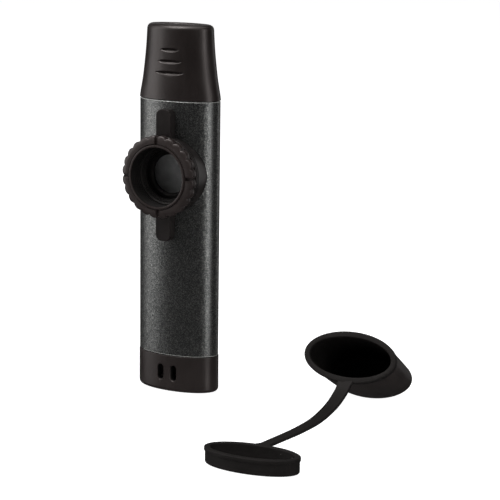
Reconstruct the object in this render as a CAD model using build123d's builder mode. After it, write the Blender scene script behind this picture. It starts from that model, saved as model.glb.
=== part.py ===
from build123d import *
import math
import os

os.makedirs("parts", exist_ok=True)

# all sizes in millimetres; origin at the middle of the foot, +Z up, the turret faces -Y
# whistle body
half_width = 14.4
half_depth = 7.66
tube_wall = 1.0
tube_end_chamfer = 0.2
base_top = 12.35
mouth_seam = 95.9
overall_height = 120.0
plug_gap = 0.03
plug_length = 6.0
plug_wall = 1.15

# mouthpiece outline: height, half width, half depth
mouth_outline = [
    (97.6, 14.36, 7.63),
    (102.6, 13.42, 7.35),
    (107.6, 12.75, 7.10),
    (112.6, 12.22, 6.90),
    (117.5, 11.90, 6.70),
    (overall_height, 11.80, 6.60),
]
mouth_overhang = 0.15
mouth_edge = 1.7
blow_half_width = 7.5
blow_half_depth = 2.5
# grip grooves on the mouthpiece front: height, width, depth from the axis to the groove floor
grip_grooves = [(112.1, 6.7, 6.25), (108.4, 8.8, 6.40), (104.8, 10.6, 6.55)]
groove_rise = 0.35
groove_drop = 0.85

# base cap
base_proud = 0.15
base_edge = 1.3
base_floor = 2.2
outlet_width = 8.4
outlet_depth = 5.2
outlet_pitch = 14.0
cord_slot_width = 2.1
cord_slot_height = 5.0
cord_slot_pitch = 4.9
cord_slot_middle = 6.4

# seals round the two plugs
seal_height = 0.9
seal_depth = 0.5
seal_inset = 2.6

# turret: heights above the tube axis plane, measured forward along -Y
turret_height = 72.1
collar_radius = 12.7
collar_front = 10.8
collar_lines_from_front = [0.45, 0.95]
collar_line_width = 0.2
collar_line_depth = 0.12
gasket_thickness = 0.3
spigot_radius = 9.9
spigot_back = 3.6
spigot_fit = 0.05
thread_bore_radius = 11.25
thread_bore_floor = 8.2
sleeve_bore_radius = 8.95
seat_floor = 4.6
seat_hole_radius = 6.0
strip_width = 5.5
strip_length = 42.6
strip_corner = 1.9
strip_gap = 0.02
strip_front = 10.4
retainer_radius = 11.1
retainer_back = 3.0

# membrane stack
membrane_radius = 8.9
seat_pad_thickness = 0.4
membrane_thickness = 0.2
frame_thickness = 1.2
frame_hole_radius = 6.3

# tension sleeve and tuning ring
sleeve_radius = 8.87
sleeve_hole_radius = 7.9
sleeve_nose = 7.0
flange_radius = 11.1
flange_thickness = 0.4
washer_thickness = 0.3
skirt_end = 9.45
skirt_radius = 11.2
ring_back = 11.6
ring_front = 14.3
ring_core_radius = 12.7
ring_rib_radius = 13.3
ring_hole_radius = 9.6
ring_lip_radius = 10.3
ring_lip_height = 0.15
rib_count = 24
rib_round = 1.9
first_rib_angle = 9
first_notch_angle = 1.5
notch_count = 4
notch_width = 1.1
notch_depth = 0.5

# loose cover: keeper ring, strap and cap
keeper_x = 62.7
keeper_y = -62.7
keeper_turn = 4.2
keeper_half_width = 14.7
keeper_half_depth = 7.02
keeper_wall = 1.5
keeper_height = 4.9
keeper_lip_height = 1.2
keeper_lip = 0.28
cover_mouth = (61.9, 1.9, 17.6)
cover_axis = (-0.102, 0.885, -0.454)
cover_side = (0.994, 0.104, -0.02)
cover_half_width = 15.1
cover_half_depth = 7.85
cover_length = 25.9
cover_lip_length = 1.7
cover_lip = 0.3
cover_wall = 1.45
cover_end_round = 2.2
strap_x = 62.2
strap_width = 4.6
strap_thickness = 1.1
strap_end_gap = 0.02
# strap centre line seen from the side: distance along Y, height
strap_route = [
    (-56.0, 4.30),
    (-45.6, 3.75),
    (-37.4, 3.30),
    (-30.1, 3.10),
    (-23.0, 3.20),
    (-17.4, 3.85),
    (-12.4, 4.90),
    (-8.9, 6.00),
    (-5.9, 7.30),
    (-3.5, 8.60),
    (-1.5, 10.55),
]

turret_centre = (0, turret_height)

# --- body tube ---
with BuildPart() as body_tube:
    with BuildSketch(Plane.XY.offset(base_top)):
        Ellipse(half_width, half_depth)
        Ellipse(half_width - tube_wall, half_depth - tube_wall, mode=Mode.SUBTRACT)
    extrude(amount=mouth_seam - base_top)
    outer_ends = body_tube.edges().filter_by(GeomType.ELLIPSE).sort_by(SortBy.LENGTH)[-2:]
    chamfer(outer_ends, tube_end_chamfer)
    with BuildSketch(Plane.XZ.offset(2.0)):
        with Locations(turret_centre):
            Circle(spigot_radius + spigot_fit)
    extrude(amount=10.0, mode=Mode.SUBTRACT)
body_tube.part.label = "body_tube"
export_step(body_tube.part, "parts/body_tube.step")

# --- mouthpiece ---
plug_half_width = half_width - tube_wall - plug_gap
plug_half_depth = half_depth - tube_wall - plug_gap
mouth_seal_low = mouth_seam - seal_inset - seal_height
with BuildPart() as mouthpiece:
    with BuildSketch(Plane.XY.offset(mouth_seam)):
        Ellipse(half_width + mouth_overhang, half_depth + mouth_overhang)
    for level, section_width, section_depth in mouth_outline:
        with BuildSketch(Plane.XY.offset(level)):
            Ellipse(section_width, section_depth)
    loft()
    fillet(mouthpiece.edges().group_by(Axis.Z)[-1], mouth_edge)
    with BuildSketch(Plane.XY.offset(mouth_seam - plug_length)):
        Ellipse(plug_half_width, plug_half_depth)
    extrude(amount=plug_length)
    # blow channel, narrow at the lips and full width below
    with BuildSketch(Plane.XY.offset(mouth_seam - plug_length)):
        Ellipse(plug_half_width - plug_wall, plug_half_depth - plug_wall)
    extrude(amount=plug_length + 1.0, mode=Mode.SUBTRACT)
    with BuildSketch(Plane.XY.offset(mouth_seam + 1.0)):
        Ellipse(plug_half_width - plug_wall, plug_half_depth - plug_wall)
    with BuildSketch(Plane.XY.offset(overall_height - 2.0)):
        Ellipse(blow_half_width, blow_half_depth)
    loft(mode=Mode.SUBTRACT)
    with BuildSketch(Plane.XY.offset(overall_height - 2.0)):
        Ellipse(blow_half_width, blow_half_depth)
    extrude(amount=3.0, mode=Mode.SUBTRACT)
    # seal groove
    with BuildSketch(Plane.XY.offset(mouth_seal_low)):
        Ellipse(plug_half_width + 0.2, plug_half_depth + 0.2)
        Ellipse(plug_half_width - seal_depth, plug_half_depth - seal_depth, mode=Mode.SUBTRACT)
    extrude(amount=seal_height, mode=Mode.SUBTRACT)
    # grip grooves
    for level, groove_width, floor in grip_grooves:
        with BuildSketch(Plane.XZ.offset(floor)):
            with BuildLine():
                left = (-groove_width / 2, level + groove_rise)
                right = (groove_width / 2, level + groove_rise)
                Line(left, right)
                ThreePointArc(right, (0, level - groove_drop), left)
            make_face()
        extrude(amount=3.0, mode=Mode.SUBTRACT)
mouthpiece.part.label = "mouthpiece"
export_step(mouthpiece.part, "parts/mouthpiece.step")

with BuildPart() as mouthpiece_seal:
    with BuildSketch(Plane.XY.offset(mouth_seal_low)):
        Ellipse(half_width - tube_wall, half_depth - tube_wall)
        Ellipse(plug_half_width - seal_depth, plug_half_depth - seal_depth, mode=Mode.SUBTRACT)
    extrude(amount=seal_height)
mouthpiece_seal.part.label = "mouthpiece_seal"
export_step(mouthpiece_seal.part, "parts/mouthpiece_seal.step")

# --- base cap ---
base_seal_low = base_top + seal_inset
with BuildPart() as base_cap:
    with BuildSketch():
        Ellipse(half_width + base_proud, half_depth + base_proud)
    extrude(amount=base_top)
    fillet(base_cap.edges().group_by(Axis.Z)[0], base_edge)
    with BuildSketch(Plane.XY.offset(base_top)):
        Ellipse(plug_half_width, plug_half_depth)
    extrude(amount=plug_length)
    with BuildSketch(Plane.XY.offset(base_floor)):
        Ellipse(plug_half_width - plug_wall, plug_half_depth - plug_wall)
    extrude(amount=base_top + plug_length, mode=Mode.SUBTRACT)
    # two outlets with a solid bar between them
    with BuildSketch(Plane.XY.offset(-1.0)):
        with Locations((-outlet_pitch / 2, 0), (outlet_pitch / 2, 0)):
            SlotOverall(outlet_width, outlet_depth)
    extrude(amount=base_floor + 2.0, mode=Mode.SUBTRACT)
    with BuildSketch(Plane.XZ.offset(half_depth - 3.0)):
        with Locations((-cord_slot_pitch / 2, cord_slot_middle), (cord_slot_pitch / 2, cord_slot_middle)):
            SlotOverall(cord_slot_height, cord_slot_width, rotation=90)
    extrude(amount=5.0, mode=Mode.SUBTRACT)
    with BuildSketch(Plane.XY.offset(base_seal_low)):
        Ellipse(plug_half_width + 0.2, plug_half_depth + 0.2)
        Ellipse(plug_half_width - seal_depth, plug_half_depth - seal_depth, mode=Mode.SUBTRACT)
    extrude(amount=seal_height, mode=Mode.SUBTRACT)
base_cap.part.label = "base_cap"
export_step(base_cap.part, "parts/base_cap.step")

with BuildPart() as base_seal:
    with BuildSketch(Plane.XY.offset(base_seal_low)):
        Ellipse(half_width - tube_wall, half_depth - tube_wall)
        Ellipse(plug_half_width - seal_depth, plug_half_depth - seal_depth, mode=Mode.SUBTRACT)
    extrude(amount=seal_height)
base_seal.part.label = "base_seal"
export_step(base_seal.part, "parts/base_seal.step")

# --- turret saddle: collar, holding strip and the spigot that passes into the tube ---
with BuildPart() as turret_saddle:
    with BuildSketch(Plane.XY.offset(turret_height - strip_length / 2)):
        with Locations((0, -strip_front / 2)):
            Rectangle(strip_width, strip_front)
        Ellipse(half_width + strip_gap, half_depth + strip_gap, mode=Mode.SUBTRACT)
    extrude(amount=strip_length)
    fillet(turret_saddle.edges().filter_by(Axis.Y), strip_corner)
    with BuildSketch(Plane.XZ.offset(2.0)):
        with Locations(turret_centre):
            Circle(collar_radius)
    extrude(amount=collar_front - 2.0)
    with BuildSketch(Plane.XY.offset(turret_height - collar_radius)):
        Ellipse(half_width + gasket_thickness, half_depth + gasket_thickness)
    extrude(amount=2 * collar_radius, mode=Mode.SUBTRACT)
    with BuildSketch(Plane.XZ.offset(spigot_back)):
        with Locations(turret_centre):
            Circle(spigot_radius)
    extrude(amount=thread_bore_floor - spigot_back + 0.5)
    with BuildSketch(Plane.XZ.offset(thread_bore_floor)):
        with Locations(turret_centre):
            Circle(thread_bore_radius)
    extrude(amount=4.0, mode=Mode.SUBTRACT)
    with BuildSketch(Plane.XZ.offset(seat_floor)):
        with Locations(turret_centre):
            Circle(sleeve_bore_radius)
    extrude(amount=6.0, mode=Mode.SUBTRACT)
    with BuildSketch(Plane.XZ.offset(spigot_back - 1.0)):
        with Locations(turret_centre):
            Circle(seat_hole_radius)
    extrude(amount=4.0, mode=Mode.SUBTRACT)
    # fine turned lines near the front of the collar
    for line_from_front in collar_lines_from_front:
        with BuildSketch(Plane.XZ.offset(collar_front - line_from_front - collar_line_width)):
            with Locations(turret_centre):
                Circle(collar_radius + 0.5)
                Circle(collar_radius - collar_line_depth, mode=Mode.SUBTRACT)
        extrude(amount=collar_line_width, mode=Mode.SUBTRACT)
turret_saddle.part.label = "turret_saddle"
export_step(turret_saddle.part, "parts/turret_saddle.step")

with BuildPart() as saddle_gasket:
    with BuildSketch(Plane.XY.offset(turret_height - collar_radius)):
        Ellipse(half_width + gasket_thickness, half_depth + gasket_thickness)
        Ellipse(half_width, half_depth, mode=Mode.SUBTRACT)
    extrude(amount=2 * collar_radius)
    with BuildSketch(Plane.XZ.offset(2.0)):
        with Locations(turret_centre):
            Circle(collar_radius - 0.2)
            Circle(spigot_radius + spigot_fit, mode=Mode.SUBTRACT)
    extrude(amount=8.0, mode=Mode.INTERSECT)
saddle_gasket.part.label = "saddle_gasket"
export_step(saddle_gasket.part, "parts/saddle_gasket.step")

with BuildPart() as turret_retainer:
    with BuildSketch(Plane.XZ.offset(retainer_back)):
        with Locations(turret_centre):
            Circle(retainer_radius)
            Circle(spigot_radius + spigot_fit, mode=Mode.SUBTRACT)
    extrude(amount=5.0)
    with BuildSketch(Plane.XY.offset(turret_height - collar_radius - 1.0)):
        Ellipse(half_width - tube_wall - 0.02, half_depth - tube_wall - 0.02)
    extrude(amount=2 * collar_radius + 2.0, mode=Mode.INTERSECT)
turret_retainer.part.label = "turret_retainer"
export_step(turret_retainer.part, "parts/turret_retainer.step")

# --- membrane stack, back to front ---
with BuildPart() as membrane_seat:
    with BuildSketch(Plane.XZ.offset(seat_floor)):
        with Locations(turret_centre):
            Circle(membrane_radius)
            Circle(seat_hole_radius, mode=Mode.SUBTRACT)
    extrude(amount=seat_pad_thickness)
membrane_seat.part.label = "membrane_seat"
export_step(membrane_seat.part, "parts/membrane_seat.step")

membrane_back = seat_floor + seat_pad_thickness
with BuildPart() as membrane:
    with BuildSketch(Plane.XZ.offset(membrane_back)):
        with Locations(turret_centre):
            Circle(membrane_radius)
    extrude(amount=membrane_thickness)
membrane.part.label = "membrane"
export_step(membrane.part, "parts/membrane.step")

with BuildPart() as membrane_frame:
    with BuildSketch(Plane.XZ.offset(membrane_back + membrane_thickness)):
        with Locations(turret_centre):
            Circle(membrane_radius)
            Circle(frame_hole_radius, mode=Mode.SUBTRACT)
    extrude(amount=frame_thickness)
membrane_frame.part.label = "membrane_frame"
export_step(membrane_frame.part, "parts/membrane_frame.step")

# --- tension sleeve, glide washer and tuning ring ---
flange_front = skirt_end - washer_thickness
with BuildPart() as tension_sleeve:
    with BuildSketch(Plane.XZ.offset(sleeve_nose)):
        with Locations(turret_centre):
            Circle(sleeve_radius)
    extrude(amount=flange_front - sleeve_nose)
    with BuildSketch(Plane.XZ.offset(flange_front - flange_thickness)):
        with Locations(turret_centre):
            Circle(flange_radius)
    extrude(amount=flange_thickness)
    with BuildSketch(Plane.XZ.offset(sleeve_nose - 1.0)):
        with Locations(turret_centre):
            Circle(sleeve_hole_radius)
    extrude(amount=4.0, mode=Mode.SUBTRACT)
tension_sleeve.part.label = "tension_sleeve"
export_step(tension_sleeve.part, "parts/tension_sleeve.step")

with BuildPart() as glide_washer:
    with BuildSketch(Plane.XZ.offset(flange_front)):
        with Locations(turret_centre):
            Circle(flange_radius)
            Circle(ring_hole_radius + 0.1, mode=Mode.SUBTRACT)
    extrude(amount=washer_thickness)
glide_washer.part.label = "glide_washer"
export_step(glide_washer.part, "parts/glide_washer.step")

with BuildPart() as tuning_ring:
    with BuildSketch(Plane.XZ.offset(ring_back)):
        with Locations(turret_centre):
            Circle(ring_core_radius)
    extrude(amount=ring_front - ring_back)
    chamfer(tuning_ring.edges().group_by(Axis.Y)[0], 0.25)
    with BuildSketch(Plane.XZ.offset(ring_back + 0.15)):
        with Locations(turret_centre):
            with PolarLocations(ring_rib_radius - rib_round, rib_count, start_angle=first_rib_angle):
                Circle(rib_round)
    extrude(amount=ring_front - ring_back - 0.6)
    with BuildSketch(Plane.XZ.offset(skirt_end)):
        with Locations(turret_centre):
            Circle(skirt_radius)
    extrude(amount=ring_back - skirt_end)
    with BuildSketch(Plane.XZ.offset(ring_front)):
        with Locations(turret_centre):
            Circle(ring_lip_radius)
    extrude(amount=ring_lip_height)
    with BuildSketch(Plane.XZ.offset(skirt_end - 1.0)):
        with Locations(turret_centre):
            Circle(ring_hole_radius)
    extrude(amount=8.0, mode=Mode.SUBTRACT)
    with BuildSketch(Plane.XZ.offset(ring_front - notch_depth)):
        with Locations(turret_centre):
            notch_middle = (ring_lip_radius + ring_rib_radius) / 2 + 0.2
            with PolarLocations(notch_middle, notch_count, start_angle=first_notch_angle):
                Rectangle(ring_rib_radius - ring_lip_radius + 0.4, notch_width)
    extrude(amount=1.0, mode=Mode.SUBTRACT)
tuning_ring.part.label = "tuning_ring"
export_step(tuning_ring.part, "parts/tuning_ring.step")

# --- keeper ring ---
turn = math.radians(keeper_turn)
keeper_side = (math.cos(turn), math.sin(turn), 0)
keeper_plane = Plane(origin=(keeper_x, keeper_y, 0), x_dir=keeper_side, z_dir=(0, 0, 1))
keeper_lip_low = keeper_height - keeper_lip_height
with BuildPart() as keeper_ring:
    with BuildSketch(keeper_plane):
        Ellipse(keeper_half_width, keeper_half_depth)
    extrude(amount=keeper_height)
    fillet(keeper_ring.edges().group_by(Axis.Z)[0], 0.6)
    with BuildSketch(keeper_plane.offset(keeper_lip_low)):
        Ellipse(keeper_half_width + keeper_lip, keeper_half_depth + keeper_lip)
    extrude(amount=keeper_lip_height)
    with BuildSketch(keeper_plane.offset(-1.0)):
        Ellipse(keeper_half_width - keeper_wall, keeper_half_depth - keeper_wall)
    extrude(amount=keeper_height + 2.0, mode=Mode.SUBTRACT)
keeper_ring.part.label = "keeper_ring"
export_step(keeper_ring.part, "parts/keeper_ring.step")

# --- cover cap ---
cover_plane = Plane(origin=cover_mouth, x_dir=cover_side, z_dir=cover_axis)
with BuildPart() as cover_cap:
    with BuildSketch(cover_plane):
        Ellipse(cover_half_width, cover_half_depth)
    with BuildSketch(cover_plane.offset(cover_length * 0.5)):
        Ellipse(cover_half_width * 0.975, cover_half_depth * 0.97)
    with BuildSketch(cover_plane.offset(cover_length)):
        Ellipse(cover_half_width * 0.94, cover_half_depth * 0.935)
    loft()
    far_end = cover_cap.faces().sort_by(Axis(cover_mouth, cover_axis))[-1]
    fillet(far_end.edges(), cover_end_round)
    with BuildSketch(cover_plane):
        Ellipse(cover_half_width + cover_lip, cover_half_depth + cover_lip)
    extrude(amount=cover_lip_length)
    with BuildSketch(cover_plane.offset(-0.01)):
        Ellipse(cover_half_width - cover_wall, cover_half_depth - cover_wall)
    with BuildSketch(cover_plane.offset(cover_length - cover_wall - 0.3)):
        Ellipse(cover_half_width * 0.94 - cover_wall, cover_half_depth * 0.935 - cover_wall)
    loft(mode=Mode.SUBTRACT)
cover_cap.part.label = "cover_cap"
export_step(cover_cap.part, "parts/cover_cap.step")

# --- cover strap ---
with BuildPart() as cover_strap:
    with BuildSketch(Plane.YZ.offset(strap_x)):
        with BuildLine():
            Spline(*strap_route)
        trace(line_width=strap_thickness)
    extrude(amount=strap_width / 2, both=True)
    # trim both ends to the surfaces they are moulded onto
    with BuildSketch(keeper_plane):
        Ellipse(keeper_half_width + keeper_lip + strap_end_gap, keeper_half_depth + keeper_lip + strap_end_gap)
    extrude(amount=2 * keeper_height, mode=Mode.SUBTRACT)
    with BuildSketch(cover_plane.offset(-strap_end_gap)):
        Ellipse(cover_half_width + cover_lip + strap_end_gap, cover_half_depth + cover_lip + strap_end_gap)
    extrude(amount=cover_length, mode=Mode.SUBTRACT)
cover_strap.part.label = "cover_strap"
export_step(cover_strap.part, "parts/cover_strap.step")
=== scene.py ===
import math
import bpy
import bmesh
from mathutils import Matrix, Vector


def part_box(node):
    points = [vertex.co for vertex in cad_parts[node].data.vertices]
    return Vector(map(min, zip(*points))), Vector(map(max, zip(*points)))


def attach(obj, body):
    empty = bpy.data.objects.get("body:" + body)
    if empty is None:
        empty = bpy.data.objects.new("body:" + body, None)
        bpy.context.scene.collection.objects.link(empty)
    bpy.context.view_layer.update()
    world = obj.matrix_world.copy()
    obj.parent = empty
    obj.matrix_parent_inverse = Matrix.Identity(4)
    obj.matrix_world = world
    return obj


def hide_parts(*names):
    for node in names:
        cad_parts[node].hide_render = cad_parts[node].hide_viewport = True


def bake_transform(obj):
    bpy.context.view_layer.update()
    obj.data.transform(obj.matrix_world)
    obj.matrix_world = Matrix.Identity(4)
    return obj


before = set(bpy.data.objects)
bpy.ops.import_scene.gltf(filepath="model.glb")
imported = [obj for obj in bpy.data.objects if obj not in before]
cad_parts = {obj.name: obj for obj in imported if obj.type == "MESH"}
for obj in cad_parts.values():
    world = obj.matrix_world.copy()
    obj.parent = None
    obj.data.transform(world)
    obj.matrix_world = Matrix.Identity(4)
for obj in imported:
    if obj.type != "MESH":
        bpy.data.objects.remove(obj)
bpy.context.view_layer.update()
mm = 0.001
print("frame loaded")


def nodeSpan(node):
    low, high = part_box(node)
    return Vector(low) / mm, Vector(high) / mm


# measures taken from the frame, in millimetres
tubeLow, tubeHigh = nodeSpan("body_tube")
halfWidth = (tubeHigh.x - tubeLow.x) / 2
halfDepth = (tubeHigh.y - tubeLow.y) / 2
ringLow, ringHigh = nodeSpan("tuning_ring")
saddleLow, saddleHigh = nodeSpan("turret_saddle")
turretHeight = (ringLow.z + ringHigh.z) / 2
mouthTop = nodeSpan("mouthpiece")[1].z


def lerp(a, b, t):
    return a + (b - a) * t


def smooth(t):
    t = min(max(t, 0.0), 1.0)
    return t * t * (3 - 2 * t)


def roundCorners(corners, steps=5, closed=True):
    # corners are (u, v, radius); every corner with a radius becomes an arc
    points = []
    count = len(corners)
    for i, (u, v, radius) in enumerate(corners):
        here = Vector((u, v))
        atEnd = not closed and i in (0, count - 1)
        if radius <= 0 or atEnd:
            points.append((u, v))
            continue
        before = Vector(corners[i - 1][:2])
        after = Vector(corners[(i + 1) % count][:2])
        toBefore = (before - here).normalized()
        toAfter = (after - here).normalized()
        half = toBefore.angle(toAfter) / 2
        if half > math.radians(89.5):
            points.append((u, v))
            continue
        reach = radius / math.tan(half)
        centre = here + (toBefore + toAfter).normalized() * radius / math.sin(half)
        first = here + toBefore * reach - centre
        last = here + toAfter * reach - centre
        sweep = math.atan2(first.x * last.y - first.y * last.x, first.dot(last))
        for step in range(steps + 1):
            turn = sweep * step / steps
            c, s = math.cos(turn), math.sin(turn)
            points.append((centre.x + first.x * c - first.y * s, centre.y + first.x * s + first.y * c))
    return points


def ovalRing(a, b, z, count):
    turns = [2 * math.pi * k / count for k in range(count)]
    return [Vector((a * math.cos(t), b * math.sin(t), z)) for t in turns]


def turretRing(r, forward, count=192):
    turns = [2 * math.pi * k / count for k in range(count)]
    return [Vector((r * math.cos(t), -forward, turretHeight + r * math.sin(t))) for t in turns]


def ringMesh(name, rings, wrap=False, capped=False):
    # rings have equal counts and are joined by quads; wrap joins the last ring to the first
    count = len(rings[0])
    points = [Vector(p) * mm for ring in rings for p in ring]
    faces = []
    last = len(rings) if wrap else len(rings) - 1
    for i in range(last):
        j = (i + 1) % len(rings)
        for k in range(count):
            n = (k + 1) % count
            faces.append((i * count + k, i * count + n, j * count + n, j * count + k))
    if capped:
        faces.append(tuple(range(count)))
        faces.append(tuple(range((len(rings) - 1) * count, len(rings) * count)))
    mesh = bpy.data.meshes.new(name)
    mesh.from_pydata(points, [], faces)
    tidyMesh(mesh)
    piece = bpy.data.objects.new(name, mesh)
    bpy.context.scene.collection.objects.link(piece)
    return piece


def tidyMesh(mesh):
    work = bmesh.new()
    work.from_mesh(mesh)
    bmesh.ops.remove_doubles(work, verts=work.verts, dist=1e-7)
    bmesh.ops.recalc_face_normals(work, faces=work.faces)
    work.to_mesh(mesh)
    work.free()


def joinShape(piece, tool, how):
    # boolean of two meshes, applied at once
    change = piece.modifiers.new("shape", "BOOLEAN")
    change.operation = how
    change.solver = "EXACT"
    change.object = tool
    bpy.context.view_layer.update()
    graph = bpy.context.evaluated_depsgraph_get()
    made = bpy.data.meshes.new_from_object(piece.evaluated_get(graph))
    piece.modifiers.remove(change)
    old = piece.data
    piece.data = made
    made.name = piece.name
    bpy.data.meshes.remove(old)
    toolMesh = tool.data
    bpy.data.objects.remove(tool)
    bpy.data.meshes.remove(toolMesh)
    work = bmesh.new()
    work.from_mesh(made)
    bmesh.ops.dissolve_degenerate(work, dist=1e-8, edges=work.edges)
    work.to_mesh(made)
    work.free()


def paintFaces(piece, material, chosen):
    # a second finish on the faces whose middle (millimetres) and normal are chosen
    mesh = piece.data
    mesh.materials.append(material)
    index = len(mesh.materials) - 1
    for face in mesh.polygons:
        if chosen(face.center / mm, face.normal):
            face.material_index = index


def finishPiece(piece, material, body=None, stands=(), sharp=32):
    mesh = piece.data
    mesh.polygons.foreach_set("use_smooth", [True] * len(mesh.polygons))
    mesh.set_sharp_from_angle(angle=math.radians(sharp))
    weigh = piece.modifiers.new("even normals", "WEIGHTED_NORMAL")
    weigh.keep_sharp = True
    weigh.weight = 60
    mesh.materials.clear()
    mesh.materials.append(material)
    if body:
        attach(piece, body)
    if stands:
        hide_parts(*stands)
    return piece


class Finish:
    # short hand for building one node material
    def __init__(self, name):
        self.material = bpy.data.materials.new(name)
        self.material.use_nodes = True
        self.tree = self.material.node_tree
        self.shader = self.tree.nodes["Principled BSDF"]
        self.place = self.add("ShaderNodeTexCoord")

    def add(self, kind, **settings):
        node = self.tree.nodes.new(kind)
        for key, value in settings.items():
            setattr(node, key, value)
        return node

    def link(self, source, target):
        self.tree.links.new(source, target)

    def noise(self, scale, detail=2.0, rough=0.5, stretch=None):
        node = self.add("ShaderNodeTexNoise")
        node.inputs["Scale"].default_value = scale
        node.inputs["Detail"].default_value = detail
        node.inputs["Roughness"].default_value = rough
        source = self.place.outputs["Object"]
        if stretch:
            mapping = self.add("ShaderNodeMapping")
            mapping.inputs["Scale"].default_value = stretch
            self.link(source, mapping.inputs["Vector"])
            source = mapping.outputs["Vector"]
        self.link(source, node.inputs["Vector"])
        return node.outputs["Fac"]

    def cells(self, scale, output="Distance"):
        node = self.add("ShaderNodeTexVoronoi")
        node.inputs["Scale"].default_value = scale
        self.link(self.place.outputs["Object"], node.inputs["Vector"])
        return node.outputs[output]

    def ramp(self, source, stops):
        node = self.add("ShaderNodeValToRGB")
        marks = node.color_ramp.elements
        while len(marks) < len(stops):
            marks.new(0.5)
        for mark, (at, colour) in zip(marks, stops):
            mark.position = at
            mark.color = (*colour, 1.0) if isinstance(colour, tuple) else (colour, colour, colour, 1.0)
        self.link(source, node.inputs["Fac"])
        return node.outputs["Color"]

    def span(self, source, low, high, fromLow=0.0, fromHigh=1.0):
        node = self.add("ShaderNodeMapRange")
        node.inputs["From Min"].default_value = fromLow
        node.inputs["From Max"].default_value = fromHigh
        node.inputs["To Min"].default_value = low
        node.inputs["To Max"].default_value = high
        self.link(source, node.inputs["Value"])
        return node.outputs["Result"]

    def blend(self, factor, first, second, how="MIX"):
        node = self.add("ShaderNodeMix", data_type="RGBA", blend_type=how)
        if isinstance(factor, float):
            node.inputs[0].default_value = factor
        else:
            self.link(factor, node.inputs[0])
        for socket, value in ((node.inputs[6], first), (node.inputs[7], second)):
            if isinstance(value, tuple):
                socket.default_value = (*value, 1.0)
            else:
                self.link(value, socket)
        return node.outputs[2]

    def bump(self, heights, normal=None):
        # heights are (source, strength, depth in metres); they stack on the normal given
        for source, strength, depth in heights:
            node = self.add("ShaderNodeBump")
            node.inputs["Strength"].default_value = strength
            node.inputs["Distance"].default_value = depth
            self.link(source, node.inputs["Height"])
            if normal:
                self.link(normal, node.inputs["Normal"])
            normal = node.outputs["Normal"]
        self.link(normal, self.shader.inputs["Normal"])


def blastedShell():
    # dark anodised metal with a grit-blasted grain; each grain tilts its own way and glints
    tune = dict(dark=(0.066, 0.067, 0.066), middle=(0.112, 0.114, 0.112), light=(0.22, 0.22, 0.212),
                grain=4200, fine=6500, tilt=0.14, metal=0.9, grit=0.4, gritDepth=0.00005)
    make = Finish("blasted shell")
    facet = make.cells(tune["grain"], "Color")
    fine = make.noise(tune["fine"], detail=1.0, rough=0.6)
    speck = make.ramp(facet, [(0.30, tune["dark"]), (0.60, tune["middle"]), (0.90, tune["light"])])
    make.link(speck, make.shader.inputs["Base Color"])
    make.link(make.span(fine, 0.26, 0.42), make.shader.inputs["Roughness"])
    make.shader.inputs["Metallic"].default_value = tune["metal"]
    spread = make.add("ShaderNodeVectorMath", operation="SUBTRACT")
    spread.inputs[1].default_value = (0.5, 0.5, 0.5)
    make.link(facet, spread.inputs[0])
    surface = make.add("ShaderNodeNewGeometry")
    lean = make.add("ShaderNodeVectorMath", operation="MULTIPLY_ADD")
    lean.inputs[1].default_value = (tune["tilt"],) * 3
    make.link(spread.outputs[0], lean.inputs[0])
    make.link(surface.outputs["Normal"], lean.inputs[2])
    even = make.add("ShaderNodeVectorMath", operation="NORMALIZE")
    make.link(lean.outputs[0], even.inputs[0])
    make.bump([(fine, tune["grit"], tune["gritDepth"])], even.outputs[0])
    return make.material


def bareEdgeAndHighlightFinish():
    # bare metal of the turned ends, made bright as a painted highlight along the chamfers
    tune = dict(dark=(0.50, 0.51, 0.49), light=(0.80, 0.81, 0.78), grain=2600, metal=0.45)
    make = Finish("bare edge and painted highlight")
    grain = make.noise(tune["grain"], detail=2.0)
    metal = make.ramp(grain, [(0.35, tune["dark"]), (0.7, tune["light"])])
    make.link(metal, make.shader.inputs["Base Color"])
    make.link(make.span(grain, 0.25, 0.45), make.shader.inputs["Roughness"])
    make.shader.inputs["Metallic"].default_value = tune["metal"]
    return make.material


def satinPlastic(name, base, warm, rough, sheen=0.5):
    # moulded plastic: fine skin texture, faint handling marks, uneven sheen
    tune = dict(skin=2600, cloud=90, marks=260, tint=(1.0, 0.91, 0.89))
    make = Finish(name)
    skin = make.noise(tune["skin"], detail=2.0, rough=0.6)
    cloud = make.noise(tune["cloud"], detail=4.0, rough=0.6)
    marks = make.noise(tune["marks"], detail=5.0, rough=0.7, stretch=(1.0, 1.0, 0.25))
    colour = make.ramp(cloud, [(0.3, base), (0.72, warm)])
    make.link(colour, make.shader.inputs["Base Color"])
    spread = make.span(marks, rough - 0.07, rough + 0.09, 0.3, 0.7)
    make.link(spread, make.shader.inputs["Roughness"])
    make.shader.inputs["Specular IOR Level"].default_value = sheen
    make.shader.inputs["Specular Tint"].default_value = (*tune["tint"], 1.0)
    make.bump([(skin, 0.35, 0.00005), (marks, 0.08, 0.00006)])
    return make.material


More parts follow.
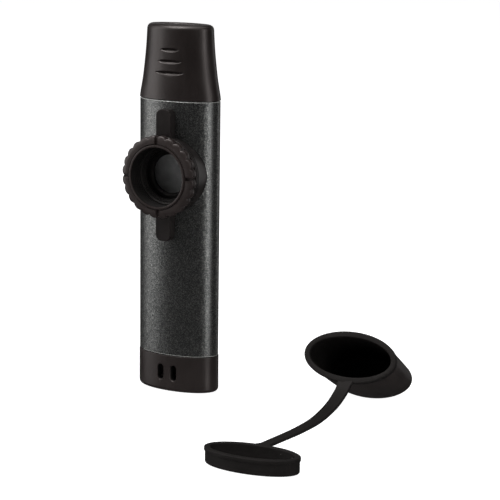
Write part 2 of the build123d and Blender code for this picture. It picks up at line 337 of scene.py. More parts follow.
def mouldedRubber(name, base, light, rough, sheen=0.25, dust=0.5):
    # matt rubber with a soft bloom and, in patches, specks of lint
    tune = dict(bloom=140, skin=2600, specks=420, patches=75,
                lint=(0.30, 0.29, 0.28), tint=(1.0, 0.93, 0.91))
    make = Finish(name)
    bloom = make.noise(tune["bloom"], detail=5.0, rough=0.65)
    skin = make.noise(tune["skin"], detail=3.0, rough=0.65)
    colour = make.ramp(bloom, [(0.32, base), (0.70, light)])
    specks = make.ramp(make.cells(tune["specks"]), [(0.035, dust), (0.075, 0.0)])
    patches = make.ramp(make.noise(tune["patches"], detail=1.0), [(0.52, 0.0), (0.62, 1.0)])
    mask = make.blend(1.0, specks, patches, "MULTIPLY")
    colour = make.blend(mask, colour, tune["lint"])
    make.link(colour, make.shader.inputs["Base Color"])
    make.link(make.span(bloom, rough - 0.06, rough + 0.08), make.shader.inputs["Roughness"])
    make.shader.inputs["Specular IOR Level"].default_value = sheen
    make.shader.inputs["Specular Tint"].default_value = (*tune["tint"], 1.0)
    make.bump([(skin, 0.45, 0.00006), (bloom, 0.12, 0.0001)])
    return make.material


def membraneFilm():
    # thin dark film with rolled marks round its middle; painted shade darkens it towards its left, where the
    # bore's shadow falls
    # side and reach set the painted shade: its darkest share and its spread in metres
    tune = dict(dark=(0.15, 0.15, 0.15), light=(0.20, 0.20, 0.20), rings=220, cloud=420,
                side=0.3, reach=0.006)
    make = Finish("membrane film")
    middle = make.add("ShaderNodeMapping")
    middle.inputs["Location"].default_value = (0, 0, -turretHeight * mm)
    make.link(make.place.outputs["Object"], middle.inputs["Vector"])
    bands = make.add("ShaderNodeTexWave", wave_type="RINGS", rings_direction="Y")
    bands.inputs["Scale"].default_value = tune["rings"]
    bands.inputs["Distortion"].default_value = 3.0
    bands.inputs["Detail"].default_value = 2.0
    bands.inputs["Detail Scale"].default_value = 1.5
    make.link(middle.outputs["Vector"], bands.inputs["Vector"])
    cloud = make.noise(tune["cloud"], detail=3.0)
    colour = make.ramp(cloud, [(0.3, tune["dark"]), (0.7, tune["light"])])
    # painted shade: the film's colour is multiplied darker towards its left, standing in for the bore's
    # shadow
    apart = make.add("ShaderNodeSeparateXYZ")
    make.link(make.place.outputs["Object"], apart.inputs[0])
    paintedShadeAcross = make.span(apart.outputs["X"], 0.0, 1.0, -tune["reach"], tune["reach"])
    shade = make.ramp(paintedShadeAcross, [(0.0, tune["side"]), (0.62, 1.0)])
    colour = make.blend(1.0, colour, shade, "MULTIPLY")
    make.link(colour, make.shader.inputs["Base Color"])
    make.link(make.span(cloud, 0.3, 0.42), make.shader.inputs["Roughness"])
    make.bump([(bands.outputs["Fac"], 0.12, 0.0001), (cloud, 0.15, 0.0001)])
    return make.material


shellFinish = blastedShell()
bareEdgeAndPaintedHighlight = bareEdgeAndHighlightFinish()
gripFinish = satinPlastic("grip plastic", (0.0098, 0.0076, 0.0071), (0.0160, 0.0124, 0.0117),
                          0.35, sheen=0.4)
turretFinish = satinPlastic("turret plastic", (0.0075, 0.0062, 0.0059), (0.0115, 0.0098, 0.0094),
                            0.36, sheen=0.3)
ringFinish = satinPlastic("ring plastic", (0.0140, 0.0104, 0.0098), (0.0215, 0.0163, 0.0154),
                          0.38, sheen=0.38)
# near-black plastic of the inner parts, also painted on as shade in slots, seam gaps, grooves and the ring's
# bore
innerPlasticAndPaintedShade = satinPlastic("inner plastic and painted shade", (0.0030, 0.0029, 0.0028), (0.0055, 0.0052, 0.0050),
                           0.55, sheen=0.24)
washerFinish = satinPlastic("washer plastic", (0.02, 0.02, 0.02), (0.03, 0.03, 0.03), 0.4)
sealFinish = mouldedRubber("seal rubber", (0.003, 0.003, 0.003), (0.006, 0.006, 0.006),
                           0.6, sheen=0.1, dust=0.0)
coverFinish = mouldedRubber("cover rubber", (0.0058, 0.0051, 0.0048), (0.0092, 0.0083, 0.0079),
                            0.62, sheen=0.13)
# lighter copy of the cover rubber, painted light for the cap's outer body
coverSkinWithPaintedLight = mouldedRubber("cover skin with painted light", (0.0095, 0.0072, 0.0068), (0.0190, 0.0148, 0.0140),
                                0.50, sheen=0.3)
filmFinish = membraneFilm()
print("finishes made")


def makeTube():
    size = dict(wall=1.0, edge=0.22, holeRadius=9.95, holeBack=2.0, holeFront=12.0)
    low, high = tubeLow.z, tubeHigh.z
    edge = size["edge"]
    corners = [(-edge, low, 0), (0, low + edge, 0), (0, high - edge, 0), (-edge, high, 0),
               (-size["wall"], high, 0), (-size["wall"], low, 0)]
    rings = [ovalRing(halfWidth + u, halfDepth + u, z, 240) for u, z, _ in corners]
    tube = ringMesh("whistleTube", rings, wrap=True)
    holeRings = [turretRing(size["holeRadius"], size[end], 96) for end in ("holeBack", "holeFront")]
    hole = ringMesh("hole", holeRings, capped=True)
    joinShape(tube, hole, "DIFFERENCE")
    finishPiece(tube, shellFinish, "whistle", ["body_tube"])
    edge = size["edge"] * 1.05

    def nearEnd(at):
        return at.z > high - edge or at.z < low + edge

    # chamfers in bright bare metal as a painted highlight; end faces painted dark as shade in the seam gaps
    paintFaces(tube, bareEdgeAndPaintedHighlight, lambda at, normal: nearEnd(at) and 0.2 < abs(normal.z) < 0.95)
    paintFaces(tube, innerPlasticAndPaintedShade, lambda at, normal: nearEnd(at) and abs(normal.z) >= 0.95)


def curveThrough(points, at):
    # smooth value through (position, value) pairs
    for i in range(len(points) - 1):
        if at <= points[i + 1][0] or i == len(points) - 2:
            break
    x0, y0 = points[i]
    x1, y1 = points[i + 1]
    before = points[max(i - 1, 0)]
    after = points[min(i + 2, len(points) - 1)]
    slope0 = (y1 - before[1]) / (x1 - before[0])
    slope1 = (after[1] - y0) / (after[0] - x0)
    run = x1 - x0
    t = (at - x0) / run
    return ((2 * t ** 3 - 3 * t ** 2 + 1) * y0 + (t ** 3 - 2 * t ** 2 + t) * run * slope0
            + (-2 * t ** 3 + 3 * t ** 2) * y1 + (t ** 3 - t ** 2) * run * slope1)


def makeMouthpiece():
    size = dict(
        # outline rows are height, half width, half depth; groove rows are height, width
        outline=[(95.9, 14.55, 7.81), (97.6, 14.36, 7.63), (102.6, 13.42, 7.35), (107.6, 12.75, 7.10),
                 (112.6, 12.22, 6.90), (117.5, 11.90, 6.70), (120.0, 11.80, 6.60)],
        topRound=1.7, blowWidth=7.5, blowDepth=2.5, blowRound=0.5,
        plug=6.0, plugInset=1.03, plugWall=1.15, sealSeat=(2.5, 3.4), sealDepth=0.5,
        grooves=[(112.1, 6.7), (108.4, 8.8), (104.8, 10.6)],
        grooveRise=0.7, grooveDrop=0.8, grooveDepth=0.68, seamGap=0.24)
    count = 320
    seam = tubeHigh.z
    top = mouthTop
    rings = []
    widths = [(z, width) for z, width, _ in size["outline"]]
    depths = [(z, depth) for z, _, depth in size["outline"]]

    def outline(z):
        return curveThrough(widths, z), curveThrough(depths, z)

    def sunk(point):
        # lens-shaped grip grooves on the front: slow fall from above, short ledge below
        if point.y > 0:
            return point
        for level, width in size["grooves"]:
            across = abs(point.x) / (width / 2)
            if across >= 1:
                continue
            thin = (1 - across ** 2) ** 0.6
            upper = level + size["grooveRise"] * thin
            fall = (size["grooveRise"] + size["grooveDrop"]) * thin
            down = (upper - point.z) / fall if fall > 0.02 else 2
            if 0 <= down <= 1:
                dip = smooth(down / 0.5) if down < 0.5 else 2 * (1 - down)
                return point + Vector((0, size["grooveDepth"] * dip * (1 - across ** 4), 0))
        return point

    a, b = outline(seam)
    foot = seam + size["seamGap"]
    rings.append(ovalRing(a - 0.1, b - 0.1, foot, count))
    rings.append(ovalRing(a - 0.02, b - 0.02, foot + 0.05, count))
    z = foot + 0.15
    grooveLow = size["grooves"][-1][0] - 1.2
    grooveHigh = size["grooves"][0][0] + 0.8
    while z < top - size["topRound"]:
        a, b = outline(z)
        rings.append([sunk(p) for p in ovalRing(a, b, z, count)])
        z += 0.06 if grooveLow < z < grooveHigh else 0.6
    for step in range(11):
        turn = math.pi / 2 * step / 10
        z = top - size["topRound"] + size["topRound"] * math.sin(turn)
        a, b = outline(min(z, top))
        inset = size["topRound"] * (1 - math.cos(turn))
        rings.append(ovalRing(a - inset, b - inset, z, count))
    for step in range(6):
        turn = math.pi / 2 * step / 5
        grow = size["blowRound"] * (1 - math.sin(turn))
        z = top - size["blowRound"] * (1 - math.cos(turn))
        rings.append(ovalRing(size["blowWidth"] + grow, size["blowDepth"] + grow, z, count))
    innerWidth = halfWidth - size["plugInset"] - size["plugWall"]
    innerDepth = halfDepth - size["plugInset"] - size["plugWall"]
    for step in range(9):
        # the air way opens out on its way down
        t = step / 8
        wide = lerp(size["blowWidth"], innerWidth, smooth(t))
        deep = lerp(size["blowDepth"], innerDepth, smooth(t))
        rings.append(ovalRing(wide, deep, lerp(top - 2.0, seam + 1.0, t), count))
    foot = seam - size["plug"]
    plugWidth, plugDepth = halfWidth - size["plugInset"], halfDepth - size["plugInset"]
    rings.append(ovalRing(innerWidth, innerDepth, foot, count))
    rings.append(ovalRing(plugWidth - 0.2, plugDepth - 0.2, foot, count))
    rings.append(ovalRing(plugWidth, plugDepth, foot + 0.2, count))
    sealLow, sealHigh = size["sealSeat"]
    deep = size["sealDepth"]
    for inset, z in ((0, sealLow), (deep, sealLow), (deep, sealHigh), (0, sealHigh), (0, size["plug"])):
        rings.append(ovalRing(plugWidth - inset, plugDepth - inset, foot + z, count))
    rings.append(ovalRing(plugWidth, plugDepth, seam + size["seamGap"], count))
    mouth = ringMesh("mouthpieceShell", rings, wrap=True)
    finishPiece(mouth, gripFinish, "whistle", ["mouthpiece"], sharp=38)


def makeBase():
    size = dict(proud=0.15, footRound=1.3, floor=2.2, plug=6.0, plugInset=1.03, plugWall=1.15,
                slotWidth=2.1, slotHeight=5.0, slotPitch=4.9, slotMiddle=6.4, slotSkin=0.955, seamGap=0.2,
                outletWidth=8.4, outletDepth=5.2, outletPitch=14.0)
    top = tubeLow.z
    plugTop = top + size["plug"]
    inner = -size["plugInset"] - size["plugWall"]
    shoulder = top - size["seamGap"]
    corners = [(-6.5, 0, 0), (size["proud"], 0, size["footRound"]), (size["proud"], shoulder, 0.12),
               (-size["plugInset"], shoulder, 0), (-size["plugInset"], plugTop, 0.2), (inner, plugTop, 0.1),
               (inner, size["floor"], 0.4), (inner - 3, size["floor"], 0)]
    profile = roundCorners(corners, 7, closed=False)
    rings = [ovalRing(halfWidth + u, halfDepth + u, z, 240) for u, z in profile]
    base = ringMesh("baseCapShell", rings, capped=True)

    def slotOutline(long, wide, grow, count=48):
        # stadium outline, long axis first
        radius = wide / 2 + grow
        straight = (long - wide) / 2
        points = []
        for k in range(count):
            turn = 2 * math.pi * (k + 0.5) / count
            c, s = math.cos(turn), math.sin(turn)
            points.append((c * radius + math.copysign(straight, c), s * radius))
        return points

    front = halfDepth + size["proud"]
    for side in (-1, 1):
        # lanyard slots, rims eased outwards
        middle = side * size["slotPitch"] / 2
        surface = front * math.sqrt(1 - (middle / (halfWidth + size["proud"])) ** 2)
        rings = []
        for depth, grow in ((1.0, 1.25), (0.0, 0.27), (-0.06, 0.17), (-0.14, 0.1), (-0.3, 0.06),
                            (-3.6, 0.06)):
            outline = slotOutline(size["slotHeight"], size["slotWidth"], grow)
            forward = surface + depth
            level = size["slotMiddle"]
            rings.append([Vector((middle + wide, -forward, level + tall)) for tall, wide in outline])
        joinShape(base, ringMesh("slot", rings, capped=True), "DIFFERENCE")
        # air outlets in the foot
        rings = []
        for z, grow in ((-0.5, 0.8), (0.0, 0.3), (0.1, 0.12), (0.3, 0.0), (size["floor"] + 0.6, 0.0)):
            outline = slotOutline(size["outletWidth"], size["outletDepth"], grow)
            rings.append([Vector((side * size["outletPitch"] / 2 + x, y, z)) for x, y in outline])
        joinShape(base, ringMesh("outlet", rings, capped=True), "DIFFERENCE")
    finishPiece(base, gripFinish, "whistle", ["base_cap"], sharp=38)
    reach = (size["slotPitch"] + size["slotWidth"]) / 2 + 0.2
    tall = size["slotHeight"] / 2 + 0.2

    def inSlotShade(at, normal):
        # slot walls, from just under the outer skin, painted dark as shade inside the slots
        beside = abs(at.x) < reach and abs(at.z - size["slotMiddle"]) < tall
        return beside and -front * size["slotSkin"] < at.y < 0

    paintFaces(base, innerPlasticAndPaintedShade, inSlotShade)


makeTube()
makeMouthpiece()
makeBase()
print("whistle body made")


def tubeFront(x, grow=0.0):
    # how far forward the tube's surface stands at x
    return (halfDepth + grow) * math.sqrt(max(0.0, 1 - (x / (halfWidth + grow)) ** 2))


def fromAxis(at):
    # distance from the turret's axis
    return math.hypot(at.x, at.z - turretHeight)


def turned(name, corners):
    # closed profile of (radius, forward, corner radius) turned about the turret axis
    rings = [turretRing(r, forward) for r, forward in roundCorners(corners, 4)]
    return ringMesh(name, rings, wrap=True)


def makeSaddle():
    size = dict(front=10.8, frontRound=0.3, gasket=0.5, jointLine=0.25, spigot=9.9, spigotBack=3.6,
                threadBore=11.25, threadFloor=8.2, sleeveBore=8.95, seatFloor=4.6, seatHole=6.0,
                lines=[10.2, 9.45], lineDepth=0.3, lineWidth=0.4,
                stripWidth=5.5, stripFront=10.4, stripRoot=11.6, stripCorner=1.9, stripRound=0.3)
    # collar body, its foot following the tube
    collarRadius = (saddleHigh.x - saddleLow.x) / 2
    lineRadius = collarRadius - size["lineDepth"]
    outer = [(collarRadius, "foot"), (collarRadius, "joint")]
    for line in reversed(size["lines"]):
        half = size["lineWidth"] / 2
        outer += [(collarRadius, line - half), (lineRadius, line - half * 0.4),
                  (lineRadius, line + half * 0.4), (collarRadius, line + half)]
    front, ease = size["front"], size["frontRound"]
    for step in range(6):
        turn = math.pi / 2 * step / 5
        outer.append((collarRadius - ease * (1 - math.cos(turn)), front - ease * (1 - math.sin(turn))))
    outer += [(size["threadBore"] + 0.12, front), (size["threadBore"], front - 0.12),
              (size["threadBore"], size["threadFloor"]), (size["sleeveBore"] + 0.15, size["threadFloor"]),
              (size["sleeveBore"], size["threadFloor"] - 0.15), (size["sleeveBore"], size["seatFloor"]),
              (size["seatHole"], size["seatFloor"]), (size["seatHole"], size["spigotBack"]),
              (size["spigot"], size["spigotBack"]), (size["spigot"], "foot")]
    rings = []
    for radius, forward in outer:
        if forward in ("foot", "joint"):
            ring = turretRing(radius, 0.0)
            grow = size["gasket"] + (size["jointLine"] if forward == "joint" else 0.0)
            rings.append([Vector((p.x, -tubeFront(p.x, grow), p.z)) for p in ring])
        else:
            rings.append(turretRing(radius, forward))
    collar = ringMesh("turretCollar", rings, wrap=True)

    # upper and lower tab of the holding strip, each tucked into the collar
    half, corner, stripFront = size["stripWidth"] / 2, size["stripCorner"], size["stripFront"]
    for sign, tip in ((1, saddleHigh.z), (-1, saddleLow.z)):
        rootHeight = turretHeight + sign * size["stripRoot"]
        shoulder = lerp(tip - sign * corner, rootHeight, 0.5)
        middle = (tip + rootHeight) / 2
        turns = [math.pi / 2 * k / 12 for k in range(13)]
        outline = [(half - corner + corner * math.cos(t), tip - sign * (corner - corner * math.sin(t)))
                   for t in turns]
        outline += [(-half + corner - corner * math.sin(t), tip - sign * (corner - corner * math.cos(t)))
                    for t in turns]
        outline += [(-half, shoulder), (-half, rootHeight), (0, rootHeight), (half, rootHeight),
                    (half, shoulder)]
        rings = [[Vector((x, -tubeFront(x) - 0.01, z)) for x, z in outline]]
        for inset, forward in ((0.0, stripFront - size["stripRound"]), (0.03, stripFront - 0.14),
                               (0.10, stripFront - 0.04), (0.24, stripFront)):
            ring = []
            for x, z in outline:
                shrunkX = x - math.copysign(min(inset, abs(x)), x)
                atRoot = abs(z - rootHeight) < 0.01
                shrunkZ = z if atRoot else z - sign * inset * smooth(abs(z - middle) / 4)
                ring.append(Vector((shrunkX, -forward, shrunkZ)))
            rings.append(ring)
        joinShape(collar, ringMesh("tab", rings, capped=True), "UNION")
    finishPiece(collar, turretFinish, "whistle", ["turret_saddle"], sharp=35)

    def inJoint(at, normal):
        # shadow line where the collar meets the gasket
        low = -at.y < tubeFront(at.x, size["gasket"] + size["jointLine"] * 0.7)
        return low and collarRadius - 0.1 < fromAxis(at) < collarRadius + 0.05

    def inLineShade(at, normal):
        # the turned lines round the collar, painted dark as shade in their grooves
        behind = -at.y < size["lines"][0] + size["lineWidth"] / 2
        return behind and lineRadius - 0.05 < fromAxis(at) < collarRadius - 0.02

    paintFaces(collar, innerPlasticAndPaintedShade, inJoint)
    paintFaces(collar, innerPlasticAndPaintedShade, inLineShade)


def makeRing():
    size = dict(back=11.6, front=14.3, core=12.55, rib=13.32, ribs=24, perRib=28, crest=0.55, firstGap=1.5,
                lip=10.3, lipRise=0.25, hole=9.6, skirt=11.2, skirtEnd=9.45, groove=12.95,
                notch=1.15, notchDepth=0.7, notches=4,
                threads=[10.95, 10.6, 10.25, 9.9], boreLines=[10.4, 11.5, 12.5, 13.5])
    count = size["ribs"] * size["perRib"]
    core, lip, hole, skirt, groove = (size[k] for k in ("core", "lip", "hole", "skirt", "groove"))
    front, back, skirtEnd = size["front"], size["back"], size["skirtEnd"]
    lipTop = front + size["lipRise"]
    # (radius, forward, share of the rib height)
    profile = [(hole, skirtEnd, 0)]
    for step in size["boreLines"]:
        profile += [(hole, step - 0.10, 0), (hole + 0.10, step - 0.03, 0),
                    (hole + 0.10, step + 0.03, 0), (hole, step + 0.10, 0)]
    profile += [(hole, lipTop - 0.15, 0), (hole + 0.05, lipTop - 0.04, 0), (hole + 0.15, lipTop, 0),
                (lip - 0.12, lipTop, 0), (lip - 0.03, lipTop - 0.04, 0), (lip, lipTop - 0.12, 0),
                (lip + 0.04, front - 0.22, 0), (lip + 0.22, front - 0.22, 0), (lip + 0.38, front - 0.02, 0),
                (core - 0.95, front, 0), (core - 0.65, front - 0.03, 0), (core - 0.35, front - 0.1, 0.15),
                (core - 0.15, front - 0.25, 0.5), (core - 0.03, front - 0.42, 0.85),
                (core, front - 0.62, 1.0), (core, groove + 0.16, 1.0), (core, groove + 0.09, 0.55),
                (core - 0.05, groove + 0.04, 0.0), (core - 0.05, groove - 0.04, 0.0),
                (core, groove - 0.09, 0.55), (core, groove - 0.16, 1.0), (core, back + 0.35, 1.0),
                (core, back + 0.2, 0.8), (core - 0.05, back + 0.08, 0.3), (core - 0.2, back, 0),
                (skirt + 0.1, back, 0), (skirt, back - 0.1, 0)]
    for step in size["threads"]:
        profile += [(skirt, step + 0.07, 0), (skirt - 0.1, step + 0.02, 0),
                    (skirt - 0.1, step - 0.02, 0), (skirt, step - 0.07, 0)]
    profile += [(skirt, skirtEnd + 0.15, 0), (skirt - 0.15, skirtEnd, 0)]
    floor = front - size["notchDepth"]
    rings = []
    for radius, forward, share in profile:
        ring = []
        for k in range(count):
            turn = 2 * math.pi * (k + 0.5) / count
            past = turn - math.radians(size["firstGap"])
            crest = abs(math.sin(size["ribs"] / 2 * past)) ** size["crest"]
            r = radius + (size["rib"] - core) * share * crest
            aside = abs(math.remainder(past, 2 * math.pi / size["notches"])) * r
            notched = r > lip + 0.02 and forward > floor and aside < size["notch"] / 2
            ahead = floor if notched else forward
            ring.append(Vector((r * math.cos(turn), -ahead, turretHeight + r * math.sin(turn))))
        rings.append(ring)
    ring = ringMesh("tuningRing", rings, wrap=True)
    finishPiece(ring, ringFinish, "ring", ["tuning_ring"], sharp=40)
    # the ring's bore painted dark as shade inside it
    paintFaces(ring, innerPlasticAndPaintedShade, lambda at, normal: at.y > -front + 0.1 and fromAxis(at) < hole + 0.12)


def makeInner():
    # throat corners are (radius, forward, corner radius)
    sleeve = dict(nose=7.0, flangeBack=8.75, flangeFront=9.15, outer=8.87, flange=11.1, hole=7.9,
                  throat=[(8.9, 8.8, 0.1), (8.5, 8.75, 0.08), (8.4, 8.2, 0.08), (8.0, 8.1, 0.08)])
    corners = [(sleeve["hole"], sleeve["nose"], 0.1), (sleeve["outer"], sleeve["nose"], 0.15),
               (sleeve["outer"], sleeve["flangeBack"], 0.05), (sleeve["flange"], sleeve["flangeBack"], 0.05),
               (sleeve["flange"], sleeve["flangeFront"], 0.05), (9.35, sleeve["flangeFront"], 0.1)]
    piece = turned("tensionSleeve", corners + sleeve["throat"])
    finishPiece(piece, innerPlasticAndPaintedShade, "sleeve", ["tension_sleeve"])
    seat = dict(back=5.2, gap=0.02, front=6.4, outer=8.9, hole=6.3)
    back = seat["back"] + seat["gap"]
    corners = [(seat["hole"], back, 0.02), (seat["outer"], back, 0.02), (seat["outer"], seat["front"], 0.1),
               (6.95, seat["front"], 0.15), (seat["hole"], seat["front"] - 0.55, 0.15)]
    piece = turned("membraneFrame", corners)
    finishPiece(piece, innerPlasticAndPaintedShade, "whistle", ["membrane_frame"])
    film = dict(back=5.0, front=5.2, radius=8.9, free=6.3, swell=0.22, steps=26)
    count = film["steps"]
    rings = []
    for level, steps in ((film["front"], range(1, count + 1)), (film["back"], range(count, 0, -1))):
        for k in steps:
            r = film["radius"] * k / count
            lift = film["swell"] * max(0.0, 1 - (r / film["free"]) ** 2)
            rings.append(turretRing(r, level + lift, 96))
    piece = ringMesh("membraneDisc", rings, capped=True)
    finishPiece(piece, filmFinish, "whistle", ["membrane"])


makeSaddle()
makeRing()
makeInner()
print("turret made")


def makeCover():
    # axis runs from the mouth to the closed end; tapers are shares lost over the length
    size = dict(mouth=(61.9, 1.9, 18.1), axis=(-0.102, 0.880, -0.470), side=(0.994, 0.104, -0.02),
                halfWidth=15.1, halfDepth=8.05, length=25.9, lip=0.3, lipLength=1.7, wall=1.6, endRound=2.2,
                widthTaper=(0.04, 0.02), depthTaper=(0.055, 0.01))
    mouth = Vector(size["mouth"])
    along = Vector(size["axis"]).normalized()
    side = Vector(size["side"])
    side = (side - along * side.dot(along)).normalized()
    across = along.cross(side)
    length, wall, lip, lipLength = size["length"], size["wall"], size["lip"], size["lipLength"]
    count = 192

    def ring(a, b, depth):
        turns = [2 * math.pi * k / count for k in range(count)]
        return [mouth + along * depth + side * (a * math.cos(t)) + across * (b * math.sin(t)) for t in turns]

    def body(depth):
        t = depth / length
        (wide, wider), (deep, deeper) = size["widthTaper"], size["depthTaper"]
        return (size["halfWidth"] * (1 - wide * t - wider * t * t),
                size["halfDepth"] * (1 - deep * t - deeper * t * t))

    # outside, from the rim to the closed end
    profile = []
    a, b = size["halfWidth"], size["halfDepth"]
    for depth, grow in ((0.0, -wall + 0.3), (0.0, lip - 0.45), (0.06, lip - 0.2), (0.2, lip - 0.05),
                        (0.42, lip), (lipLength - 0.4, lip), (lipLength - 0.15, lip - 0.06),
                        (lipLength, lip - 0.22), (lipLength + 0.12, -0.05), (lipLength + 0.35, -0.02)):
        profile.append((a + grow, b + grow, depth))
    depth = 3.0
    while depth < length - size["endRound"]:
        profile.append((*body(depth), depth))
        depth += 1.6
    for step in range(9):
        turn = math.pi / 2 * step / 8
        depth = length - size["endRound"] * (1 - math.sin(turn))
        a, b = body(depth)
        inset = size["endRound"] * (1 - math.cos(turn))
        profile.append((a - inset, b - inset, depth))
    a, b = body(length)
    for share in (0.7, 0.45, 0.2, 0.03):
        profile.append((a * share, b * share, length))
    # inside, from the floor back to the rim
    floor = length - wall - 0.3
    inside = [(a * share, b * share, floor) for share in (0.03, 0.3, 0.6)]
    for depth, inset in ((floor, wall + 1.0), (floor - 0.3, wall + 0.3), (floor - 1.0, wall)):
        a, b = body(depth)
        inside.append((a - inset, b - inset, depth))
    depth = floor - 2.5
    while depth > 1.0:
        a, b = body(depth)
        inside.append((a - wall, b - wall, depth))
        depth -= 2.0
    a, b = size["halfWidth"], size["halfDepth"]
    inside += [(a - wall, b - wall, 0.35), (a - wall + 0.1, b - wall + 0.1, 0.1)]
    shell = ringMesh("coverCap", [ring(a, b, depth) for a, b, depth in inside + profile], capped=True)
    finishPiece(shell, coverFinish, "cover", ["cover_cap"], sharp=45)

    def onSkin(at, normal):
        # outer skin past the lip, which has more shine than the rest; its lighter colour is painted light on
        # the cap's body
        depth = (at - mouth).dot(along)
        away = at - mouth - along * depth
        a, b = body(depth)
        mid = wall / 2
        share = (away.dot(side) / (a - mid)) ** 2 + (away.dot(across) / (b - mid)) ** 2
        isInside = share < 1 and depth < length - mid
        return depth > lipLength + 0.1 and not isInside

    paintFaces(shell, coverSkinWithPaintedLight, onSkin)


def makeKeeper():
    low, high = nodeSpan("keeper_ring")
    size = dict(turn=4.2, lip=0.28, lipHeight=1.2, wall=1.5, halfWidth=14.7, halfDepth=7.02)
    height = high.z
    middle = (low + high) / 2
    turn = math.radians(size["turn"])
    c, s = math.cos(turn), math.sin(turn)
    lipLow = height - size["lipHeight"]
    corners = [(0, 0, 0.6), (0, lipLow - 0.12, 0.1), (-0.06, lipLow - 0.02, 0.0),
               (size["lip"], lipLow + 0.06, 0.12), (size["lip"], height, 0.32),
               (-size["wall"], height, 0.3), (-size["wall"], 0, 0.3)]
    rings = []
    for u, z in roundCorners(corners, 6):
        ring = ovalRing(size["halfWidth"] + u, size["halfDepth"] + u, z, 192)
        rings.append([Vector((middle.x + p.x * c - p.y * s, middle.y + p.x * s + p.y * c, p.z))
                      for p in ring])
    keeper = ringMesh("keeperRing", rings, wrap=True)
    finishPiece(keeper, coverFinish, "keeper", ["keeper_ring"], sharp=45)


def makeStrap():
    # route points are (y, z) along the middle of the band, from the keeper to the cap
    size = dict(x=62.2, keeperWidth=3.3, capWidth=4.7, thick=1.1, edge=0.32, flare=0.9, flareLength=2.6,
                steps=90,
                route=[(-55.8, 4.30), (-45.6, 3.75), (-37.4, 3.30), (-30.1, 3.10), (-23.0, 3.20),
                       (-17.4, 3.85), (-12.4, 4.90), (-8.9, 6.00), (-5.9, 7.40), (-3.5, 8.85),
                       (-1.1, 10.95)])
    route = size["route"]
    lengths = [0.0]
    for first, second in zip(route, route[1:]):
        lengths.append(lengths[-1] + math.dist(first, second))
    alongY = [(d, p[0]) for d, p in zip(lengths, route)]
    alongZ = [(d, p[1]) for d, p in zip(lengths, route)]
    total = lengths[-1]

    def pointAt(d):
        return Vector((0, curveThrough(alongY, d), curveThrough(alongZ, d)))

    thick, edge, flareLength = size["thick"] / 2, size["edge"], size["flareLength"]
    rings = []
    for k in range(size["steps"] + 1):
        d = total * k / size["steps"]
        here = pointAt(d)
        forward = (pointAt(min(d + 0.2, total)) - pointAt(max(d - 0.2, 0))).normalized()
        up = Vector((0, -forward.z, forward.y))
        spread = max(smooth(1 - d / flareLength), 0.6 * smooth(1 - (total - d) / flareLength))
        width = lerp(size["keeperWidth"], size["capWidth"], (d / total) ** 1.5)
        half = width / 2 + size["flare"] * spread ** 2
        corners = [(-half, -thick, edge), (half, -thick, edge), (half, thick, edge), (-half, thick, edge)]
        rings.append([Vector((size["x"] + x, here.y, here.z)) + up * z for x, z in roundCorners(corners, 4)])
    strap = ringMesh("coverStrap", rings, capped=True)
    finishPiece(strap, coverFinish, None, ["cover_strap"], sharp=45)
    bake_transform(strap)


makeCover()
makeKeeper()
makeStrap()
print("loose cover made")


# pieces kept from the frame get a finish only
carried = dict(mouthpiece_seal=sealFinish, base_seal=sealFinish, saddle_gasket=sealFinish,
               membrane_seat=sealFinish, turret_retainer=innerPlasticAndPaintedShade, glide_washer=washerFinish)
for name, finish in carried.items():
    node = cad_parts[name]
    node.data.materials.clear()
    node.data.materials.append(finish)


def makeFloor():
    # round table that bounces light, and a wide sweep round it that doesn't; metres
    look = dict(tableReach=0.16, middle=(0.03, -0.02), sweepReach=5.0, height=-0.0002, shade=0.5, glow=0.96)
    x, y = look["middle"]
    count = 64
    turns = [2 * math.pi * k / count for k in range(count)]
    for name, inner, outer, bounces in (("studioTable", 0.0, look["tableReach"], True),
                                        ("studioSweep", look["tableReach"], look["sweepReach"], False)):
        points = [(x + r * math.cos(t), y + r * math.sin(t), look["height"])
                  for r in (inner, outer) if r for t in turns]
        faces = [tuple(range(count))]
        if inner:
            faces = [(k, (k + 1) % count, count + (k + 1) % count, count + k) for k in range(count)]
        mesh = bpy.data.meshes.new(name)
        mesh.from_pydata(points, [], faces)
        tidyMesh(mesh)
        floor = bpy.data.objects.new(name, mesh)
        bpy.context.scene.collection.objects.link(floor)
        make = Finish(name)
        tint = make.ramp(make.noise(2.0), [(0.3, look["shade"]), (0.7, look["shade"] * 1.01)])
        make.link(tint, make.shader.inputs["Base Color"])
        make.shader.inputs["Roughness"].default_value = 0.9
        make.shader.inputs["Emission Color"].default_value = (1, 1, 1, 1)
        make.shader.inputs["Emission Strength"].default_value = look["glow"]
        mesh.materials.append(make.material)
        floor.visible_glossy = False
        floor.visible_diffuse = bounces


def outward(azimuth, elevation):
    # direction from the subject, in degrees round from the front and up from level
    a, e = math.radians(azimuth), math.radians(elevation)
    return Vector((math.sin(a) * math.cos(e), -math.cos(a) * math.cos(e), math.sin(e)))


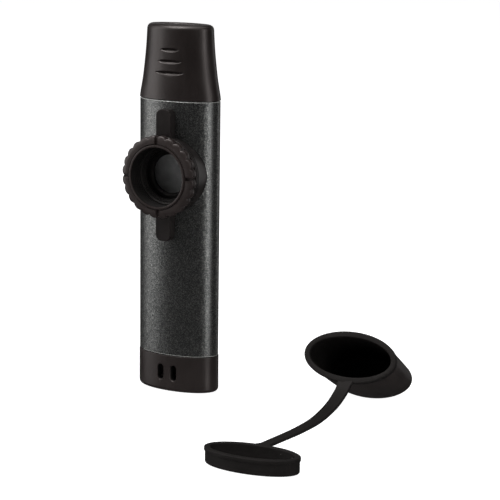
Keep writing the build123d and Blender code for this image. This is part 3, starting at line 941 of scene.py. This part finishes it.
def softLight(name, azimuth, elevation, distance, width, height, power):
    target = Vector((0.02, 0.0, 0.06))
    light = bpy.data.lights.new(name, "AREA")
    light.shape = "RECTANGLE"
    light.size, light.size_y = width, height
    light.energy = power
    lamp = bpy.data.objects.new(name, light)
    lamp.location = target + outward(azimuth, elevation) * distance
    lamp.rotation_mode = "QUATERNION"
    lamp.rotation_quaternion = (target - lamp.location).to_track_quat("-Z", "Y")
    bpy.context.scene.collection.objects.link(lamp)


def makeCamera():
    view = dict(azimuth=28.947, elevation=11.441, roll=0.76, distance=0.6,
                aimSide=0.023155, aimHeight=0.046413, lens=131.8)
    back = outward(view["azimuth"], view["elevation"])
    a, roll = math.radians(view["azimuth"]), math.radians(view["roll"])
    right = Vector((math.cos(a), math.sin(a), 0))
    up = back.cross(right)
    tiltedRight = right * math.cos(roll) + up * math.sin(roll)
    tiltedUp = up * math.cos(roll) - right * math.sin(roll)
    camera = bpy.data.objects.new("studioCamera", bpy.data.cameras.new("studioCamera"))
    camera.data.lens = view["lens"]
    camera.data.sensor_width = 36
    camera.data.clip_start = 0.01
    place = back * view["distance"] + right * view["aimSide"] + Vector((0, 0, view["aimHeight"]))
    turn = Matrix((tiltedRight, tiltedUp, back)).transposed().to_4x4()
    camera.matrix_world = Matrix.Translation(place) @ turn
    bpy.context.scene.collection.objects.link(camera)
    bpy.context.scene.camera = camera


def makeStudio():
    # each light is azimuth, elevation, distance, width, height, power
    look = dict(world=0.045, lights={
        "left softbox": (-63, 12, 0.9, 0.55, 0.9, 4.0),
        "right strip": (64.5, 8, 0.8, 0.21, 0.9, 3.1),
        "top softbox": (10, 78, 0.9, 0.9, 0.9, 4.5),
        "backdrop glow": (209, 20, 1.2, 1.0, 0.3, 0.35),
        "right rim": (152, 6, 0.9, 0.34, 0.7, 0.75),
        "front key": (-45, 60, 0.9, 0.36, 0.36, 5.8)})
    world = bpy.data.worlds.new("studio")
    bpy.context.scene.world = world
    world.use_nodes = True
    world.node_tree.nodes["Background"].inputs["Color"].default_value = (1, 1, 1, 1)
    world.node_tree.nodes["Background"].inputs["Strength"].default_value = look["world"]
    for name, settings in look["lights"].items():
        softLight(name, *settings)
    bpy.context.scene.view_settings.view_transform = "Standard"


makeFloor()
makeStudio()
makeCamera()
print("studio made")
